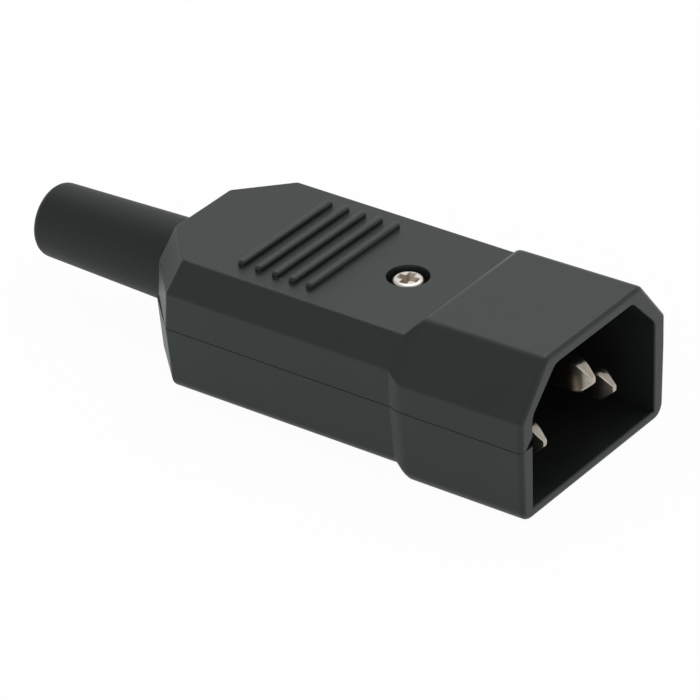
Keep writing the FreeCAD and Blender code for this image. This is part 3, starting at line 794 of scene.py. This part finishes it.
class PLUG_OT_contacts(Operator):
    """Models the three contact blades with their terminals"""
    bl_idname = "plug.contacts"
    bl_label = "Contact blades"

    def execute(self, context):
        scene = context.scene
        housing, contacts = scene.plug_housing, scene.plug_contacts
        finish = nickel_brass(scene.plug_colours)
        groove_rear = MOUTH_X - housing.cavity_depth - housing.end_wall - housing.flange_room
        block_front = groove_rear - contacts.block_gap
        line_z = (LINE_LOW.z + LINE_HIGH.z) / 2
        screw_x = block_front - contacts.block_length / 2
        for name, side in (("line", -1), ("neutral", 1)):
            pin = blade(name + "_blade", contacts, side * contacts.spacing / 2, line_z, LINE_HIGH.x,
                        block_front - contacts.block_gap)
            inner, outer = sorted((side * -LINE_HIGH.y, side * -LINE_LOW.y))
            low, high = (LINE_LOW.x, inner, LINE_LOW.z), (block_front, outer, LINE_HIGH.z)
            carve(pin, "UNION", [block("terminal", low, high)])
            hole = post("thread", screw_x, (inner + outer) / 2, LINE_LOW.z + contacts.thread_floor,
                        LINE_HIGH.z + contacts.block_gap, contacts.thread_radius)
            carve(pin, "DIFFERENCE", [hole])
            dress(pin, finish, name + "_pin")
        strip_low = PARTING + contacts.strip_rise
        strip_high = strip_low + contacts.strip_thickness
        pin = blade("earth_blade", contacts, 0.0, EARTH_HIGH.z - contacts.height / 2, EARTH_HIGH.x,
                    groove_rear)
        tail = block("tail", (EARTH_LOW.x, EARTH_LOW.y, strip_low), (groove_rear, EARTH_HIGH.y, strip_high))
        neck = block("neck", (groove_rear - contacts.block_gap, -contacts.thickness / 4, strip_low),
                     (groove_rear + contacts.block_gap, contacts.thickness / 4, strip_high))
        carve(pin, "UNION", [tail, neck])
        earth_low, earth_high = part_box("earth_terminal_screw")
        ends = (strip_low - OVERRUN, strip_high + OVERRUN)
        eye = post("eye", SCREW_X, 0.0, *ends, contacts.eye_radius)
        hole = post("thread", (earth_low.x + earth_high.x) / 2, 0.0, *ends, contacts.thread_radius)
        carve(pin, "DIFFERENCE", [eye, hole])
        dress(pin, finish, "earth_pin")
        return {"FINISHED"}


class PLUG_OT_boot(Operator):
    """Models the tapered strain-relief boot"""
    bl_idname = "plug.boot"
    bl_label = "Strain-relief boot"

    def execute(self, context):
        scene = context.scene
        boot = scene.plug_boot
        flange_rear = BOOT_HIGH.x - boot.flange_thickness
        profile = [
            (BOOT_HIGH.x, boot.bore_radius, 0), (BOOT_HIGH.x, boot.flange_radius, 0),
            (flange_rear, boot.flange_radius, 0), (flange_rear, boot.neck_radius, 0),
            (UPPER_LOW.x, boot.neck_radius, 0), (UPPER_LOW.x, boot.root_radius, boot.root_round),
            (BOOT_LOW.x, boot.tip_radius, boot.tip_round), (BOOT_LOW.x, boot.bore_radius, boot.bore_round),
        ]
        piece = revolved("cord_boot", [(p.x, p.y) for p in rounded(profile)])
        dress(piece, soft_pvc(scene.plug_colours), "strain_relief_boot")
        return {"FINISHED"}


class PLUG_OT_fasteners(Operator):
    """Models the cross-recess screw and the nut that hold the shells"""
    bl_idname = "plug.fasteners"
    bl_label = "Screw and nut"

    def execute(self, context):
        scene = context.scene
        fittings = scene.plug_fittings
        finish = zinc_steel(scene.plug_colours)
        seat = SCREW_HIGH.z - fittings.head_height
        centre = (SCREW_X, 0.0)
        levels = [(seat, fittings.head_radius)]
        levels += [(SCREW_HIGH.z - drop, fittings.head_radius - inset)
                   for drop, inset in reversed(edge_curve(fittings.head_round))]
        head = turned("cross_screw", *centre, levels)
        core = fittings.shank_radius - fittings.thread_height
        thread = []
        for k in range(int((seat - SCREW_LOW.z) / fittings.thread_pitch)):
            z = SCREW_LOW.z + k * fittings.thread_pitch
            thread += [(z, core), (z + fittings.thread_pitch / 2, fittings.shank_radius)]
        thread.append((seat + fittings.head_round / 2, core))
        carve(head, "UNION", [turned("shank", *centre, thread)])
        # The cross recess takes a darker, browner, duller plating than the rest of the head
        finishes = (finish, recess_plating(scene.plug_colours))
        along, wide = fittings.recess_length / 2, fittings.recess_width / 2
        shares = ((SCREW_HIGH.z - fittings.recess_depth, fittings.recess_taper), (SCREW_HIGH.z, 1.0),
                  (SCREW_HIGH.z + fittings.head_round / 2, 1.0))
        arms = []
        for turn in (fittings.recess_turn, fittings.recess_turn + math.pi / 2):
            rings = []
            for z, share in shares:
                outline = [Matrix.Rotation(turn, 2) @ Vector((u * along * share, v * wide * share))
                           for u, v in ((-1, -1), (1, -1), (1, 1), (-1, 1))]
                rings.append(level(z, outline, centre))
            arm = loft("recess arm", rings)
            for face in arm.data.polygons:
                face.material_index = 1
            arms.append(arm)
        for solid in [head] + arms:
            for material in finishes:
                solid.data.materials.append(material)
        carve(head, "DIFFERENCE", arms)
        dress(head, finish, "body_screw")
        corner = fittings.nut_flats / math.sqrt(3)
        nut = post("hex_nut", *centre, NUT_LOW.z, NUT_HIGH.z, corner, HEXAGON)
        chamfer = fittings.nut_chamfer
        blank = turned("blank", *centre, [
            (NUT_LOW.z, corner - chamfer), (NUT_LOW.z + chamfer / 2, corner),
            (NUT_HIGH.z - chamfer / 2, corner), (NUT_HIGH.z, corner - chamfer)])
        carve(nut, "INTERSECT", [blank])
        bore = post("bore", *centre, NUT_LOW.z - OVERRUN, NUT_HIGH.z + OVERRUN, fittings.shank_radius)
        carve(nut, "DIFFERENCE", [bore])
        dress(nut, finish, "body_nut")
        return {"FINISHED"}


class PLUG_OT_inner_parts(Operator):
    """Finishes the carrier, the clamp and the terminals, which keep their construction shapes"""
    bl_idname = "plug.inner_parts"
    bl_label = "Inner parts"

    def execute(self, context):
        colours = context.scene.plug_colours
        nylon, zinc = black_nylon(colours), zinc_steel(colours)
        finishes = {"carrier": nylon, "clamp": nylon, "screw": zinc, "plate": zinc}
        for part in frame["record"]["subparts"]:
            node, finish = part["node"], finishes.get(part["material_slot"])
            if finish and node != "body_screw":
                for slot in frame["nodes"][node].material_slots:
                    slot.material = finish
        return {"FINISHED"}


def white_floor(colours):
    """Matt white table: it glows white to the eye and in reflections, with a soft shadow left in both."""
    material, tree, place, output = new_material("matt white table")
    fibres = noise(tree, place, size=40.0, detail=2.0)
    tone = add_node(tree, "ShaderNodeMapRange", {"Value": fibres, "To Min": 0.8, "To Max": 0.9})
    matt = add_node(tree, "ShaderNodeBsdfDiffuse", {
        "Color": (*colours.floor, 1), "Roughness": tone.outputs["Result"]})
    glow = add_node(tree, "ShaderNodeEmission", {"Color": (1, 1, 1, 1), "Strength": 1.0})
    rays = add_node(tree, "ShaderNodeLightPath").outputs
    seen = combined(tree, "MAXIMUM", rays["Is Camera Ray"], rays["Is Transmission Ray"])
    direct = combined(tree, "MULTIPLY", seen, TABLE_SEEN)
    mirrored = combined(tree, "MULTIPLY", rays["Is Glossy Ray"], TABLE_MIRRORED)
    mixed = add_node(tree, "ShaderNodeMixShader", {
        "Fac": combined(tree, "MAXIMUM", direct, mirrored), 1: matt.outputs["BSDF"],
        2: glow.outputs["Emission"]})
    tree.links.new(mixed.outputs["Shader"], output.inputs["Surface"])
    return material


class PLUG_OT_stage(Operator):
    """Sets up the table, the light and the camera"""
    bl_idname = "plug.stage"
    bl_label = "Stage"

    def execute(self, context):
        scene = context.scene
        stage = scene.plug_stage
        scene.view_settings.view_transform = "Standard"
        bm = bmesh.new()
        bmesh.ops.create_circle(bm, cap_ends=True, segments=CIRCLE_STEPS, radius=stage.floor_radius)
        floor = mesh_object("table", bm)
        floor.data.materials.append(white_floor(scene.plug_colours))

        world = bpy.data.worlds.new("pale studio")
        world.use_nodes = True
        scene.world = world
        tree = world.node_tree
        tree.nodes.clear()
        way = add_node(tree, "ShaderNodeTexCoord").outputs["Generated"]
        split = add_node(tree, "ShaderNodeSeparateXYZ", {"Vector": way})
        glow = add_node(tree, "ShaderNodeMapRange", {
            "Value": split.outputs["Z"], "From Min": 0.0, "From Max": SKY_START,
            "To Min": stage.horizon, "To Max": stage.sky}, interpolation_type="SMOOTHSTEP")
        sky = add_node(tree, "ShaderNodeBackground", {
            "Color": (1, 1, 1, 1), "Strength": glow.outputs["Result"]})
        output = add_node(tree, "ShaderNodeOutputWorld", {"Surface": sky.outputs["Background"]})
        output.is_active_output = True

        data = bpy.data.lights.new("overhead softbox", "AREA")
        data.size = LAMP_SIZE
        data.energy = LAMP_POWER
        lamp = bpy.data.objects.new("overhead softbox", data)
        lamp.location = LAMP_PLACE
        lamp.rotation_euler = (-LAMP_PLACE).to_track_quat("-Z", "Y").to_euler()
        scene.collection.objects.link(lamp)

        az, el, roll = stage.azimuth, stage.elevation, stage.roll
        back = Vector((math.sin(az) * math.cos(el), -math.cos(az) * math.cos(el), math.sin(el)))
        level_right = Vector((math.cos(az), math.sin(az), 0.0))
        level_up = back.cross(level_right)
        right = level_right * math.cos(roll) + level_up * math.sin(roll)
        up = level_up * math.cos(roll) - level_right * math.sin(roll)
        data = bpy.data.cameras.new("camera")
        data.lens = stage.lens
        data.clip_start = CLIP_START
        camera = bpy.data.objects.new("camera", data)
        turn = Matrix((right, up, back)).transposed().to_4x4()
        camera.matrix_world = Matrix.Translation(Vector(stage.look_at) + back * stage.distance) @ turn
        scene.collection.objects.link(camera)
        scene.camera = camera
        return {"FINISHED"}


class PLUG_PT_panel(Panel):
    """Lists the plug's pieces and sizes"""
    bl_idname = "PLUG_PT_panel"
    bl_label = "Inline power plug"
    bl_space_type = "VIEW_3D"
    bl_region_type = "UI"
    bl_category = "Plug"

    def draw(self, context):
        for step in STEPS:
            self.layout.operator(step.bl_idname)
        for name in GROUPS:
            group = getattr(context.scene, name)
            box = self.layout.box()
            for key in group.bl_rna.properties.keys():
                if key not in ("rna_type", "name"):
                    box.prop(group, key)


GROUPS = {
    "plug_housing": PLUG_PG_housing,
    "plug_fittings": PLUG_PG_fittings,
    "plug_contacts": PLUG_PG_contacts,
    "plug_boot": PLUG_PG_boot,
    "plug_colours": PLUG_PG_colours,
    "plug_stage": PLUG_PG_stage,
}
STEPS = (PLUG_OT_upper_shell, PLUG_OT_lower_shell, PLUG_OT_contacts, PLUG_OT_boot, PLUG_OT_fasteners,
         PLUG_OT_inner_parts, PLUG_OT_stage)


def register():
    """Adds the sizes, operators and panel."""
    for name, group in GROUPS.items():
        bpy.utils.register_class(group)
        setattr(bpy.types.Scene, name, PointerProperty(type=group))
    for step in STEPS:
        bpy.utils.register_class(step)
    bpy.utils.register_class(PLUG_PT_panel)


def unregister():
    """Removes the sizes, operators and panel."""
    bpy.utils.unregister_class(PLUG_PT_panel)
    for step in reversed(STEPS):
        bpy.utils.unregister_class(step)
    for name, group in GROUPS.items():
        delattr(bpy.types.Scene, name)
        bpy.utils.unregister_class(group)


def main():
    """Builds the plug and its stage."""
    register()
    bpy.ops.plug.upper_shell()
    bpy.ops.plug.lower_shell()
    bpy.ops.plug.contacts()
    bpy.ops.plug.boot()
    bpy.ops.plug.fasteners()
    bpy.ops.plug.inner_parts()
    bpy.ops.plug.stage()


if __name__ == "__main__":
    main()
